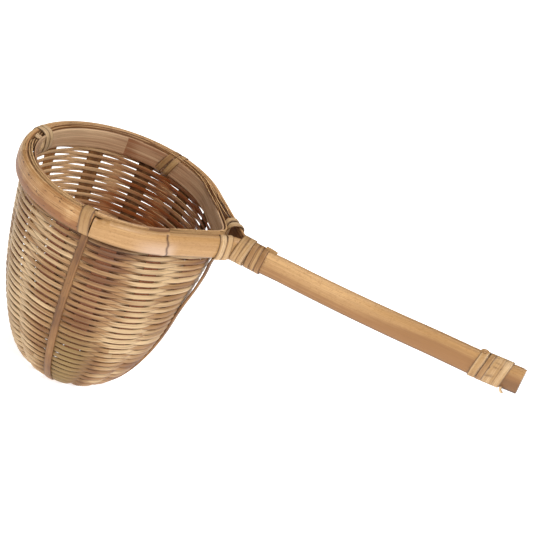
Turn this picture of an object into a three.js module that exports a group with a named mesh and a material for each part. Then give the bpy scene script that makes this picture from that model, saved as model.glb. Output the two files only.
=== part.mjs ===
// Woven bamboo tea strainer: a deep round basket on a lashed bamboo handle.
// Millimetres, +Z up. The origin is under the middle of the basket's base, where the lower of the
// two reinforcing ribs rests. The handle points along +X and the basket's mouth opens upwards.

import * as THREE from 'three';

// ---- Driving dimensions -------------------------------------------------------------------

const RIM_TOP = 85.6;               // rim's upper edge above the resting surface
const RIM_CENTRE_X = -5;            // the rim's round part sits back from the basket's axis
const BASE_CENTRE_X = -1.7;         // the wall's outline at the base sits back a little too
const HOOP_HEIGHT = 9;              // outer hoop and the bar's front branch
const HOOP_INNER_RADIUS = 37.45;
const HOOP_THICKNESS = 2.85;
const BAR_THICKNESS = 3.4;          // split bamboo bar that is branch and handle in one
const BAND_OUTER_RADIUS = 34.95;    // flat band inside the mouth
const BAND_THICKNESS = 0.85;
const BAND_HEIGHT = 8;
const WALL_RADIUS = 36.2;           // middle of the woven wall at the rim
const WALL_TOP = 77.1;              // height where the wall enters the rim
const TEARDROP_START = 25;          // height where the outline starts to take the rim's shape

const STAKE_STRIPS = 6;             // each crosses the base and stands up on both sides
const STAKE_WIDTH = 6;
const STAKE_THICKNESS = 0.5;
const STAKE_TOP = 83.7;
const STAKE_TAPER = 0.25;           // width per millimetre of radius, near the base
const STACK_PITCH = 0.58;           // stakes lie on each other over the base

const WEFT_TURNS = 16;              // turns that each of the two strands makes
const WEFT_LENGTHS = 8;             // strips joined end to end in each strand
const WEFT_WIDTH = 2.1;
const WEFT_THICKNESS = 0.55;
const WEFT_OFFSET = 0.82;           // in front of a stake or behind it

const RIB_WIDTH = 2.9;
const RIB_THICKNESS = 1;
const RIB_TOP = 75.5;
const RIB_OFFSET = 1.75;            // ribs lie on the outside of the weave
const RIB_FLAT_RADIUS = 6;          // half length of the flat where a rib crosses the base
const BASE_LEVEL = 3.4;             // middle of the weave under the basket
const BASE_FLAT_RADIUS = 12.5;

const HANDLE_END_X = 159.4;
const HANDLE_RISE = 5.4e-4;         // gentle upward bend, per millimetre squared
const HANDLE_START_X = 45;
const HANDLE_WIDENING = 1;          // the handle is this much wider at its end
const BAR_Y = -1.3;
const TAIL_Y = 1.3;                 // hoop lath that runs on behind the bar
const TAIL_THICKNESS = 1.5;
const TAIL_NARROWING = 1;           // the tail stays inside the bar's edges

const BINDING_THICKNESS = 0.5;
const BINDING_GAP = 0.12;

const FRONT_BRANCH_ANGLE = 38;      // where the rim leaves its circle, in degrees from +X
const BACK_BRANCH_ANGLE = 44;
const NOSE_BLUNTNESS = 12;

// ---- Materials ----------------------------------------------------------------------------

function bamboo(colour, roughness) {
  return new THREE.MeshStandardMaterial({ color: colour, roughness, metalness: 0 });
}

const SKIN = bamboo(0xc89b5f, 0.42);
const HOOP = bamboo(0xb98a55, 0.5);
const BAND = bamboo(0xbf9766, 0.55);
const STAKE = bamboo(0x8c5a33, 0.6);
const WEFT = bamboo(0xcdac7a, 0.55);
const RIB = bamboo(0xbe9364, 0.55);
const CANE = bamboo(0xd6ba8c, 0.55);

// ---- Lath builder -------------------------------------------------------------------------

// Sections are outlines in units of the lath's width and thickness; the second number points
// to the lath's outer face.
const RECTANGLE = [[-0.5, -0.5], [0.5, -0.5], [0.5, 0.5], [-0.5, 0.5]];
const HALF_ROUND = [
  [-0.5, -0.5], [0.5, -0.5], [0.5, -0.05], [0.3, 0.35], [0, 0.5], [-0.3, 0.35], [-0.5, -0.05],
];

const degrees = THREE.MathUtils.degToRad;
const blend = (low, high, x) => THREE.MathUtils.smoothstep(x, low, high);

function signedVolume(positions, indices) {
  const point = (i) => new THREE.Vector3().fromArray(positions, 3 * i);
  let volume = 0;
  for (let i = 0; i < indices.length; i += 3) {
    const [a, b, c] = [indices[i], indices[i + 1], indices[i + 2]].map(point);
    volume += a.dot(b.cross(c)) / 6;
  }
  return volume;
}

// A closed solid: the section carried through every station, with flat ends. A station has its
// centre, the directions of the lath's width and thickness, and the two sizes.
function lath(stations, section = RECTANGLE) {
  const positions = [];
  const indices = [];
  const corners = section.length;
  for (const { centre, across, through, width, thickness } of stations) {
    for (const [a, b] of section) {
      const corner = centre.clone();
      corner.addScaledVector(across, a * width);
      corner.addScaledVector(through, b * thickness);
      positions.push(corner.x, corner.y, corner.z);
    }
  }
  for (let i = 0; i + 1 < stations.length; i++) {
    for (let j = 0; j < corners; j++) {
      const here = i * corners;
      const next = here + corners;
      const k = (j + 1) % corners;
      indices.push(here + j, here + k, next + k, here + j, next + k, next + j);
    }
  }
  const last = (stations.length - 1) * corners;
  for (let j = 1; j + 1 < corners; j++) {
    indices.push(0, j + 1, j, last, last + j, last + j + 1);
  }
  if (signedVolume(positions, indices) < 0) indices.reverse();
  const geometry = new THREE.BufferGeometry();
  geometry.setAttribute('position', new THREE.Float32BufferAttribute(positions, 3));
  geometry.setIndex(indices);
  geometry.computeVertexNormals();
  return geometry;
}

const strainer = new THREE.Group();

function addPiece(name, stations, material, section) {
  const mesh = new THREE.Mesh(lath(stations, section), material);
  mesh.name = name;
  strainer.add(mesh);
}

// ---- Shape of the basket ------------------------------------------------------------------

// Distance from the rim's centre to a rim line: a circle whose side towards the handle is drawn
// out into two straight branches with a blunt nose between them.
function teardrop(radius, angle, branchAngle) {
  const wrapped = THREE.MathUtils.euclideanModulo(angle + 180, 360) - 180;
  const lean = branchAngle - Math.hypot(wrapped, NOSE_BLUNTNESS);
  return radius / Math.cos(degrees(Math.max(0, lean)));
}

// Middle of the woven wall in profile: base radius and height up to the rim.
const PROFILE = new THREE.CubicBezierCurve(
  new THREE.Vector2(BASE_FLAT_RADIUS, BASE_LEVEL),
  new THREE.Vector2(22, 3.6),
  new THREE.Vector2(37, 30),
  new THREE.Vector2(WALL_RADIUS, WALL_TOP),
);
const PROFILE_LENGTH = PROFILE.getLength();

// The wall's outline is a circle near the base. As the wall rises the outline drifts back from
// the basket's axis and turns into the rim's teardrop.
function wallRadius(azimuth, radius, height) {
  const risen = (Math.min(height, WALL_TOP) / WALL_TOP) ** 3;
  const drift = THREE.MathUtils.lerp(BASE_CENTRE_X, RIM_CENTRE_X, risen);
  const branchAngle = FRONT_BRANCH_ANGLE * blend(TEARDROP_START, WALL_TOP, height);
  const c = Math.cos(degrees(azimuth));
  const s = Math.sin(degrees(azimuth));
  let distance = radius;
  for (let pass = 0; pass < 8; pass++) {
    const x = distance * c - drift;
    const y = distance * s;
    const angle = THREE.MathUtils.radToDeg(Math.atan2(y, x));
    distance += teardrop(radius, angle, branchAngle) - Math.hypot(x, y);
  }
  return distance;
}

// A point on the middle of the wall. `along` runs from 0 at the base's flat to PROFILE_LENGTH
// at the rim, and on above it straight up.
function wallPoint(azimuth, along) {
  const onProfile = THREE.MathUtils.clamp(along / PROFILE_LENGTH, 0, 1);
  const profile = PROFILE.getPointAt(onProfile);
  const height = profile.y + Math.max(0, along - PROFILE_LENGTH);
  const inside = Math.min(0, along);
  const distance = wallRadius(azimuth, profile.x, height) + inside;
  const turn = degrees(azimuth);
  return new THREE.Vector3(distance * Math.cos(turn), distance * Math.sin(turn), height);
}

function wallFrame(azimuth, along) {
  const step = 0.2;
  const centre = wallPoint(azimuth, along);
  const rise = wallPoint(azimuth, along + step).sub(wallPoint(azimuth, along - step));
  const round = wallPoint(azimuth + step, along).sub(wallPoint(azimuth - step, along));
  const outward = new THREE.Vector3().crossVectors(round, rise).normalize();
  return { centre, rise: rise.normalize(), round: round.normalize(), outward };
}

// Laths that climb the wall have their stations close together round the basket's lower edge.
const ARM_STEPS = 20;
const armReach = (i, top) => top * (i / ARM_STEPS) ** 1.5;

// ---- Stakes: flat strips that cross over the base and stand up in the wall -----------------

const STAKE_AZIMUTHS = Array.from({ length: STAKE_STRIPS }, (_, i) => 15 + 30 * i);
const STACK_CLEAR = 7;              // radius where neighbouring stakes no longer overlap
const STACK_LEVEL = 2.75;           // lowest stake's middle over the base

function stakeWidth(distance) {
  return Math.min(STAKE_WIDTH, STAKE_TAPER * Math.max(distance, BASE_FLAT_RADIUS));
}

function stakeArm(azimuth, level) {
  const direction = new THREE.Vector3(Math.cos(degrees(azimuth)), Math.sin(degrees(azimuth)), 0);
  const across = new THREE.Vector3(-direction.y, direction.x, 0);
  const arm = [];
  for (const distance of [STACK_CLEAR, 9.5, BASE_FLAT_RADIUS - 0.5]) {
    const down = blend(STACK_CLEAR, BASE_FLAT_RADIUS - 0.5, distance);
    const height = THREE.MathUtils.lerp(level, BASE_LEVEL, down);
    const centre = direction.clone().multiplyScalar(distance).setZ(height);
    const through = new THREE.Vector3(0, 0, -1);
    arm.push({ centre, across, through, width: stakeWidth(distance), thickness: STAKE_THICKNESS });
  }
  const top = PROFILE_LENGTH + STAKE_TOP - WALL_TOP;
  for (let i = 1; i <= ARM_STEPS; i++) {
    const { centre, round, outward } = wallFrame(azimuth, armReach(i, top));
    const width = stakeWidth(Math.hypot(centre.x, centre.y));
    arm.push({ centre, across: round, through: outward, width, thickness: STAKE_THICKNESS });
  }
  return arm;
}

STAKE_AZIMUTHS.forEach((azimuth, i) => {
  const level = STACK_LEVEL + STACK_PITCH * i;
  const near = stakeArm(azimuth, level);
  const far = stakeArm(azimuth + 180, level).map((station) => (
    { ...station, across: station.across.clone().negate() }
  ));
  addPiece(`stake_strip_${i + 1}`, [...far.reverse(), ...near], STAKE);
});

// ---- Wefts: two strands that chase each other round, over one stake and under the next -----

const WEFT_START = 1.6;             // along the profile from the base's flat
const WEFT_END = PROFILE_LENGTH - 2.4;
const ROW_PITCH = (WEFT_END - WEFT_START) / (2 * WEFT_TURNS);
const JOIN_GAP = 1.2;               // degrees between one strip's end and the next

function weftStation(azimuth, side, strand) {
  const startAzimuth = strand === 'a' ? 0 : 180;
  const along = WEFT_START + (2 * ROW_PITCH * (azimuth - startAzimuth)) / 360;
  const { centre, rise, outward } = wallFrame(azimuth, along);
  centre.addScaledVector(outward, side * WEFT_OFFSET);
  return { centre, across: rise, through: outward, width: WEFT_WIDTH, thickness: WEFT_THICKNESS };
}

// Each stake is crossed on a short flat stretch, and the strand changes sides between stakes.
function addWeftLength(strand, number) {
  const turns = WEFT_TURNS / WEFT_LENGTHS;
  const first = (strand === 'a' ? 0 : 180) + 360 * turns * (number - 1);
  const stations = [weftStation(first + JOIN_GAP, 0, strand)];
  for (let stake = 0; stake < 12 * turns; stake++) {
    const azimuth = first + 15 + 30 * stake;
    const side = (stake % 2 === 0) === (strand === 'a') ? 1 : -1;
    const { centre } = weftStation(azimuth, 0, strand);
    const distance = Math.hypot(centre.x, centre.y);
    const half = THREE.MathUtils.radToDeg(Math.asin((stakeWidth(distance) / 2 + 0.35) / distance));
    stations.push(weftStation(azimuth - half, side, strand));
    stations.push(weftStation(azimuth + half, side, strand));
  }
  stations.push(weftStation(first + 360 * turns - JOIN_GAP, 0, strand));
  addPiece(`weft_${strand}_${number}`, stations, WEFT);
}

for (let number = 1; number <= WEFT_LENGTHS; number++) {
  addWeftLength('a', number);
  addWeftLength('b', number);
}

// ---- Ribs: two laths crossing under the base, one inside the other --------------------------

// The handle-side arm stands a little off the wall near its top, where the branches meet.
const STAND_OFF = 1;
const STAND_OFF_START = 51;

function ribArm(azimuth, baseHeight) {
  const direction = new THREE.Vector3(Math.cos(degrees(azimuth)), Math.sin(degrees(azimuth)), 0);
  const across = new THREE.Vector3(-direction.y, direction.x, 0);
  const size = { width: RIB_WIDTH, thickness: RIB_THICKNESS };
  const foot = direction.clone().multiplyScalar(RIB_FLAT_RADIUS).setZ(baseHeight);
  const arm = [{ centre: foot, across, through: new THREE.Vector3(0, 0, -1), ...size }];
  const top = PROFILE_LENGTH + RIB_TOP - WALL_TOP;
  for (let i = 0; i <= ARM_STEPS; i++) {
    const { centre, outward } = wallFrame(azimuth, armReach(i, top));
    const through = outward.addScaledVector(across, -outward.dot(across)).normalize();
    const standOff = azimuth === 0 ? STAND_OFF * blend(STAND_OFF_START, RIB_TOP, centre.z) : 0;
    centre.addScaledVector(through, RIB_OFFSET + standOff);
    arm.push({ centre, across, through, ...size });
  }
  return arm;
}

function addRib(name, azimuth, baseHeight) {
  const near = ribArm(azimuth, baseHeight);
  const far = ribArm(azimuth + 180, baseHeight).map((station) => (
    { ...station, across: station.across.clone().negate() }
  ));
  addPiece(name, [...far.reverse(), ...near], RIB);
}

const LOWER_RIB_HEIGHT = RIB_THICKNESS / 2;
const UPPER_RIB_HEIGHT = LOWER_RIB_HEIGHT + RIB_THICKNESS + 0.1;
addRib('base_rib_lower', -90, LOWER_RIB_HEIGHT);
addRib('base_rib_upper', 0, UPPER_RIB_HEIGHT);

// ---- Rim: inner band, filler laths, outer hoop ----------------------------------------------

function rimStation(radius, angle, branchAngle, bottom, height, thickness) {
  const at = (a) => {
    const distance = teardrop(radius, a, branchAngle);
    const turn = degrees(a);
    return new THREE.Vector3(RIM_CENTRE_X + distance * Math.cos(turn), distance * Math.sin(turn), 0);
  };
  const step = 0.5;
  const round = at(angle + step).sub(at(angle - step)).normalize();
  const through = new THREE.Vector3(round.y, -round.x, 0);
  const centre = at(angle).setZ(bottom + height / 2);
  return { centre, across: new THREE.Vector3(0, 0, 1), through, width: height, thickness };
}

function addRimLath(name, radius, thickness, bottom, height, from, to, stations, material) {
  const list = [];
  for (let i = 0; i <= stations; i++) {
    const angle = THREE.MathUtils.lerp(from, to, i / stations);
    list.push(rimStation(radius, angle, FRONT_BRANCH_ANGLE, bottom, height, thickness));
  }
  addPiece(name, list, material);
}

const BAND_MIDDLE = BAND_OUTER_RADIUS - BAND_THICKNESS / 2;
const BAND_BOTTOM = RIM_TOP - BAND_HEIGHT - 0.2;
addRimLath('inner_band', BAND_MIDDLE, BAND_THICKNESS, BAND_BOTTOM, BAND_HEIGHT, 128, 486, 64, BAND);

const FILLER_THICKNESS = 0.6;
const FILLER_HEIGHT = 1.5;
const FILLER_ARCS = [[-160, -395], [-95, -325], [-50, -330]];
FILLER_ARCS.forEach(([from, to], i) => {
  const radius = BAND_OUTER_RADIUS + 0.4 + 0.85 * i;
  const bottom = RIM_TOP - FILLER_HEIGHT;
  addRimLath(`rim_filler_${i + 1}`, radius, FILLER_THICKNESS, bottom, FILLER_HEIGHT, from, to, 36, HOOP);
});

function barHeight(x) {
  const middle = RIM_TOP - HOOP_HEIGHT / 2;
  return middle + HANDLE_RISE * Math.max(0, x - HANDLE_START_X) ** 2;
}

// Plan of a lath that follows the rim's circle, leaves it along a straight branch and turns
// into the handle. `side` is -1 for the front branch and +1 for the back one.
function branchPlan(radius, startAngle, branchAngle, handleY, endX, side) {
  const turn = degrees(branchAngle);
  const leaveX = RIM_CENTRE_X + radius * Math.cos(turn);
  const leaveY = radius * Math.sin(turn);
  const cornerX = leaveX + ((leaveY - Math.abs(handleY)) * Math.sin(turn)) / Math.cos(turn);
  const bend = 4;                   // length of the bend before and after the corner
  const plan = new THREE.Path();
  plan.absarc(RIM_CENTRE_X, 0, radius, degrees(startAngle), side * turn, side > 0);
  plan.lineTo(cornerX - bend * Math.sin(turn), side * (Math.abs(handleY) + bend * Math.cos(turn)));
  plan.quadraticCurveTo(cornerX, handleY, cornerX + bend, handleY);
  plan.lineTo(endX, handleY);
  return plan;
}

function branchStations(plan, side, count, widthAt, thicknessAt) {
  const list = [];
  for (let i = 0; i <= count; i++) {
    const point = plan.getPointAt(i / count);
    const heading = plan.getTangentAt(i / count);
    const through = new THREE.Vector3(heading.y, -heading.x, 0).multiplyScalar(-side);
    const centre = new THREE.Vector3(point.x, point.y, barHeight(point.x));
    const across = new THREE.Vector3(0, 0, 1);
    const width = widthAt(point.x);
    list.push({ centre, across, through, width, thickness: thicknessAt(point.x) });
  }
  return list;
}

const BAR_RADIUS = HOOP_INNER_RADIUS + BAR_THICKNESS / 2;
const BAR_START = -79;
const barPlan = branchPlan(BAR_RADIUS, BAR_START, FRONT_BRANCH_ANGLE, BAR_Y, HANDLE_END_X, -1);
const barWidth = (x) => HOOP_HEIGHT + HANDLE_WIDENING * blend(HANDLE_START_X, HANDLE_END_X, x);
const barStations = branchStations(barPlan, -1, 60, barWidth, () => BAR_THICKNESS);
addPiece('handle_bar', barStations, SKIN, HALF_ROUND);

const HOOP_RADIUS = HOOP_INNER_RADIUS + HOOP_THICKNESS / 2;
const HOOP_START = -81;
const TAIL_END_X = HANDLE_END_X + 0.8;
const hoopPlan = branchPlan(HOOP_RADIUS, HOOP_START, BACK_BRANCH_ANGLE, TAIL_Y, TAIL_END_X, 1);
const taper = (x) => blend(10, HANDLE_START_X - 4, x);
const hoopThickness = (x) => THREE.MathUtils.lerp(HOOP_THICKNESS, TAIL_THICKNESS, taper(x));
const hoopWidth = (x) => barWidth(x) - TAIL_NARROWING * taper(x);
const hoopStations = branchStations(hoopPlan, 1, 96, hoopWidth, hoopThickness);
addPiece('outer_hoop', hoopStations, HOOP, HALF_ROUND);

// ---- Bindings: flat cane strips wound round the rim, the branches and the handle -------------

// A strip wound as a helix round a bundle. `along` is the bundle's direction, `outward` and `up`
// span its cross-section, whose half sizes the strip clears.
function addBinding(name, bundle, turns, width, pitch) {
  const { centre, along, outward, up, halfDepth, halfHeight } = bundle;
  const clear = BINDING_GAP + BINDING_THICKNESS / 2;
  const d = halfDepth + clear;
  const h = halfHeight + clear;
  const round = 0.3;                // rounding of the outline's corners
  const outline = [
    [-d, -h + round], [-d, h - round], [-d + round, h], [d - round, h],
    [d, h - round], [d, -h + round], [d - round, -h], [-d + round, -h],
  ];
  const stations = [];
  const count = outline.length * turns;
  for (let i = 0; i < count; i++) {
    const [a, b] = outline[i % outline.length];
    const shift = pitch * (i / outline.length - (turns - 1 / outline.length) / 2);
    const middle = centre.clone();
    middle.addScaledVector(outward, a).addScaledVector(up, b).addScaledVector(along, shift);
    const corner = Math.abs(a) > d - round / 2 ? [Math.sign(a), 0.41 * Math.sign(b)]
      : [0.41 * Math.sign(a), Math.sign(b)];
    const through = outward.clone().multiplyScalar(corner[0]).addScaledVector(up, corner[1]);
    through.normalize();
    stations.push({ centre: middle, across: along, through, width, thickness: BINDING_THICKNESS });
  }
  addPiece(name, stations, CANE);
}

const UP = new THREE.Vector3(0, 0, 1);

// The bundle at the rim reaches from just inside the band to the hoop's outer face.
function rimBundle(angle, shift) {
  const inner = BAND_OUTER_RADIUS - BAND_THICKNESS - 0.3;
  const outer = HOOP_INNER_RADIUS + BAR_THICKNESS;
  const radius = (inner + outer) / 2;
  const station = rimStation(radius, angle, FRONT_BRANCH_ANGLE, RIM_TOP - HOOP_HEIGHT, HOOP_HEIGHT, 1);
  const along = new THREE.Vector3(-station.through.y, station.through.x, 0);
  const centre = station.centre.addScaledVector(along, shift);
  const halfDepth = (outer - inner) / 2;
  return { centre, along, outward: station.through, up: UP, halfDepth, halfHeight: HOOP_HEIGHT / 2 };
}

addBinding('front_binding', rimBundle(-85.4, 0), 1, 3.8, 0.6);
addBinding('left_binding', rimBundle(175.4, 0), 2, 2.5, 2.9);
addBinding('back_binding', rimBundle(82.3, 0), 2, 2.5, 3.1);

// A bundle on one branch, at a distance before the branch turns into the handle.
function branchBundle(plan, side, reach, halfDepth) {
  const length = plan.getLength();
  const straight = plan.curves[plan.curves.length - 1].getLength();
  const u = 1 - (straight + reach) / length;
  const point = plan.getPointAt(u);
  const heading = plan.getTangentAt(u);
  const along = new THREE.Vector3(heading.x, heading.y, 0);
  const outward = new THREE.Vector3(heading.y, -heading.x, 0).multiplyScalar(-side);
  const centre = new THREE.Vector3(point.x, point.y, barHeight(point.x));
  return { centre, along, outward, up: UP, halfDepth, halfHeight: HOOP_HEIGHT / 2 };
}

addBinding('front_branch_binding', branchBundle(barPlan, -1, 13.2, BAR_THICKNESS / 2), 2, 2.4, 2.8);
addBinding('back_branch_binding', branchBundle(hoopPlan, 1, 14.5, 1.15), 2, 2.2, 2.7);

// The handle's bundle is the bar and the hoop's tail behind it; near the neck they still spread.
function handleBundle(x, spread) {
  const front = BAR_Y - BAR_THICKNESS / 2 - spread / 4;
  const back = TAIL_Y + TAIL_THICKNESS / 2 + spread;
  const slope = 2 * HANDLE_RISE * Math.max(0, x - HANDLE_START_X);
  const along = new THREE.Vector3(1, 0, slope).normalize();
  const up = new THREE.Vector3(-slope, 0, 1).normalize();
  const centre = new THREE.Vector3(x, (front + back) / 2, barHeight(x));
  const outward = new THREE.Vector3(0, 1, 0);
  return { centre, along, outward, up, halfDepth: (back - front) / 2, halfHeight: barWidth(x) / 2 };
}

addBinding('neck_lashing_wide', handleBundle(47.5, 3.4), 1, 3.5, 0.8);
addBinding('neck_lashing', handleBundle(54, 1), 3, 2.05, 2.2);
addBinding('end_lashing', handleBundle(148, 0), 4, 2.7, 2.95);

export default strainer;
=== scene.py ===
"""A woven bamboo tea strainer: the finished look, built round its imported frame.

Lengths in this script are millimetres. They become metres where a mesh or a light is made.
"""

import math

import bpy
import numpy as np
from mathutils import Matrix, Vector


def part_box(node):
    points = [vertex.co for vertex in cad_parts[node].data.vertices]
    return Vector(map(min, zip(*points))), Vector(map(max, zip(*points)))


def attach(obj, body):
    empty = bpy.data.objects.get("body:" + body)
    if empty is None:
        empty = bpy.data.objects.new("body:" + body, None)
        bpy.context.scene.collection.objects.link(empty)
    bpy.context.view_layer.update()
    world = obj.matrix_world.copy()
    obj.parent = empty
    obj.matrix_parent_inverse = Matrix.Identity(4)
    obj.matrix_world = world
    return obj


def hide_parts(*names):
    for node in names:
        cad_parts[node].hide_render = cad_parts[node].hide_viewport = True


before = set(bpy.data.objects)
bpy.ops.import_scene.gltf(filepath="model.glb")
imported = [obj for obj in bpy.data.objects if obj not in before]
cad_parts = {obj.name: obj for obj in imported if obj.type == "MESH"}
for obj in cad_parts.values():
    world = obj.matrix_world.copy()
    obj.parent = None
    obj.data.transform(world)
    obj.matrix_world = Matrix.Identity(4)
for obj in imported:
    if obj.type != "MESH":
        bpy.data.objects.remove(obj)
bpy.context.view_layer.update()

MM = 0.001
RANDOM = np.random.default_rng(41)


def box(node):
    """Lowest and highest corners of a CAD node, in millimetres."""
    low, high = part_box(node)
    return np.array(low) / MM, np.array(high) / MM


# ---- Driving dimensions, worked out from the frame ------------------------------------------

HOOP_LOW, HOOP_HIGH = box("outer_hoop")
BAND_LOW, BAND_HIGH = box("inner_band")
RIB_LOW, RIB_HIGH = box("base_rib_lower")

HOOP_OUTER = HOOP_HIGH[1]                   # outer radius of the rim's round part
RIM_CENTRE = HOOP_LOW[0] + HOOP_OUTER       # x of the rim's centre
RIM_TOP = BAND_HIGH[2] + 0.2
HOOP_HEIGHT = 9.0
HOOP_THICKNESS = 2.85
HOOP_INNER = HOOP_OUTER - HOOP_THICKNESS
BAR_THICKNESS = 3.4
BAND_OUTER = BAND_HIGH[1]
BAND_THICKNESS = 0.85
BAND_HEIGHT = BAND_HIGH[2] - BAND_LOW[2]

WALL_RADIUS = 36.2
WALL_TOP = 77.1
BASE_CENTRE = -1.7                          # x of the wall's outline at its base
TEARDROP_START = 25.0                       # height at which the wall begins to point to the handle
BASE_LEVEL = 3.4
BASE_FLAT_RADIUS = 12.5

STAKE_STRIPS = 6                            # each crosses the base and gives two stakes
STAKE_START = 15                            # azimuth of the first stake
STAKE_STEP = 30                             # degrees from one stake to the next
STAKE_TOP = box("stake_strip_1")[1][2]
STAKE_WIDTH = 6.0
STAKE_THICKNESS = 0.5
STAKE_TAPER = 0.25                          # width for each millimetre from the axis, near the base
STACK_LEVEL = 2.75                          # middle of the lowest strip where all six cross
STACK_PITCH = 0.58                          # from one crossing strip to the next
STACK_CLEAR = 7.0                           # radius at which the strips begin to come down to one level

ROWS = 58                                   # rows of weft, both strands together
STRIPS = 8                                  # CAD lengths in each strand
WEFT_WIDTH = 1.68
WEFT_LEAN = 21.0                            # each strip's upper edge leans in by this much
WEFT_THICKNESS = 0.52
WEFT_OFFSET = 0.72

RIB_WIDTH = RIB_HIGH[0] - RIB_LOW[0]
RIB_THICKNESS = 1.0
RIB_TOP = RIB_HIGH[2]
RIB_OFFSET = 0.9

HANDLE_START = 45.0
HANDLE_END = box("handle_bar")[1][0]
HANDLE_RISE = 5.4e-4                        # how strongly the handle curves upwards
HANDLE_WIDENING = 1.0
HANDLE_ARCH = 0.8
TAIL_END = HOOP_HIGH[0]
TAIL_THICKNESS = 1.5
BAR_Y = -1.3
TAIL_Y = 1.3
FRONT_BRANCH = 38.0                         # bearing at which the bar leaves the rim's circle
BACK_BRANCH = 44.0                          # the same for the hoop
NOSE_BLUNTNESS = 12.0                       # degrees over which the wall's nose is rounded
RIM_BLUNTNESS = 3.5                         # the same at the rim
SHARPENING = (69, 82)                       # heights between which one becomes the other
PLAN_STEP = 0.4                             # between stations on the bar and the hoop
SHARP_EDGE = math.radians(50)
UP = np.array([0.0, 0, 1])


# ---- Small helpers --------------------------------------------------------------------------

def unit(v):
    return v / np.linalg.norm(v, axis=-1, keepdims=True)


def blend(low, high, x):
    t = np.clip((x - low) / (high - low), 0, 1)
    return t * t * (3 - 2 * t)


def mix(a, b, t):
    return a + (b - a) * t


def polar(radius, degrees):
    turn = np.radians(degrees)
    return np.stack([radius * np.cos(turn), radius * np.sin(turn)], -1)


def near_angle(angle, middle, spread):
    """1 at the middle angle, falling smoothly to 0 within about twice the spread of degrees."""
    away = (np.asarray(angle) - middle + 180) % 360 - 180
    return np.exp(-(away / spread) ** 2)


def ripple(x, seed, waves=5, longest=1.0):
    """Smooth random waviness along x, about -1 to 1. longest is its longest wavelength."""
    pick = np.random.default_rng(seed)
    total = np.zeros_like(np.asarray(x, float))
    for i in range(waves):
        wavelength = longest / 1.7 ** i
        total += pick.normal() * np.sin(2 * math.pi * (x / wavelength + pick.random())) / 1.35 ** i
    return total / 2.2


def run_along(points):
    """Length along a line of points, at each point."""
    return np.concatenate([[0], np.cumsum(np.linalg.norm(np.diff(points, axis=0), axis=1))])


def smoothed(points, window):
    """A line of points with its corners rounded by a moving average."""
    kernel = np.hanning(window) / np.hanning(window).sum()
    reach = window // 2
    padded = np.vstack([np.repeat(points[:1], reach, 0), points, np.repeat(points[-1:], reach, 0)])
    return np.column_stack([np.convolve(column, kernel, "valid") for column in padded.T])


def joined_arms(near, far):
    """Two arms from the middle of the base, as one strip from the far end to the near one."""
    centre = np.vstack([far[0][::-1], near[0]])
    across = np.vstack([-far[1][::-1], near[1]])
    through = np.vstack([far[2][::-1], near[2]])
    return centre, across, through


# ---- Lath meshes ----------------------------------------------------------------------------

class Lath:
    """A strip of bamboo: stations along its middle, with its size and directions at each.

    section is its outline at each station, in units of width and thickness. paint holds what the
    material reads: tone, which is darker above 0 and lighter below and carries random tone as well as
    painted light and shade, and from 0 to 1 each of: dark brown for real stains and for painted shade in
    slots, seams and along lower edges; ash (greyish); and moss (greenish).
    """

    def __init__(self, centre, across, through, width, thickness, section=None):
        count = len(centre)
        self.centre = np.array(centre, float)
        self.across = unit(np.broadcast_to(across, (count, 3)).astype(float))
        self.through = unit(np.broadcast_to(through, (count, 3)).astype(float))
        self.width = np.broadcast_to(width, count).astype(float).copy()
        self.thickness = np.broadcast_to(thickness, count).astype(float).copy()
        self.run = run_along(self.centre)
        section = outline() if section is None else section
        self.section = np.array(np.broadcast_to(section, (count, *section.shape[-2:])))
        self.paint = {key: np.zeros(self.section.shape[:2]) for key in ("tone", "stain_and_shade", "ash", "moss")}

    def darken(self, amount, key="tone"):
        """Adds an amount for the whole lath, for each station, or for each point."""
        amount = np.asarray(amount, float)
        self.paint[key] += amount[:, None] if amount.ndim == 1 else amount
        return self


def outline(points=14, outer=4.0, inner=6.0):
    """A lath's section for a width and thickness of 1: inner face below, outer face above."""
    t = 2 * math.pi * (np.arange(points) + 0.5) / points
    c, s = np.cos(t), np.sin(t)
    power = np.where(s > 0, 2 / outer, 2 / inner)
    return 0.5 * np.stack([np.sign(c) * np.abs(c) ** power, np.sign(s) * np.abs(s) ** power], -1)


def lath_surface(lath, seed, start):
    """A lath's points and faces, and for each face corner its grain: length, girth and seed."""
    n, m = lath.section.shape[:2]
    size = np.stack([lath.width, lath.thickness], -1)[:, None]
    flat = lath.section * size
    points = lath.centre[:, None] + flat[..., :1] * lath.across[:, None]
    points = points + flat[..., 1:] * lath.through[:, None]
    ring, after = np.arange(m), (np.arange(m) + 1) % m
    base = m * np.arange(n - 1)[:, None]
    quads = np.stack([base + ring, base + after, base + m + after, base + m + ring], -1).reshape(-1, 4)
    middle = flat[n // 2]
    girth = np.concatenate([[0], np.cumsum(np.linalg.norm(np.roll(middle, -1, 0) - middle, axis=1))])
    near, far = (np.broadcast_to(run[:, None], (n - 1, m)) for run in (lath.run[:-1], lath.run[1:]))
    along = np.stack([near, near, far, far], -1)
    round_it = np.broadcast_to(np.stack([girth[:-1], girth[1:], girth[1:], girth[:-1]], -1), along.shape)
    grain = np.stack([along, round_it], -1).reshape(-1, 2)
    caps = [ring[::-1], m * (n - 1) + ring]
    for cap in caps:
        station = cap[0] // m
        spot = flat[station, cap % m]
        grain = np.vstack([grain, np.column_stack([lath.run[station] + spot[:, 1], spot[:, 0]])])
    faces = quads.tolist() + [cap.tolist() for cap in caps]
    heading = np.gradient(lath.centre, axis=0)
    if np.einsum("ij,ij->i", np.cross(lath.across, lath.through), heading).sum() < 0:
        sizes = [len(face) for face in faces]
        rows = np.split(grain, np.cumsum(sizes)[:-1])
        grain = np.vstack([row[::-1] for row in rows])
        faces = [face[::-1] for face in faces]
    faces = [[start + i for i in face] for face in faces]
    grain = np.column_stack([grain, np.full(len(grain), seed)])
    return points.reshape(-1, 3), faces, grain


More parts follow.
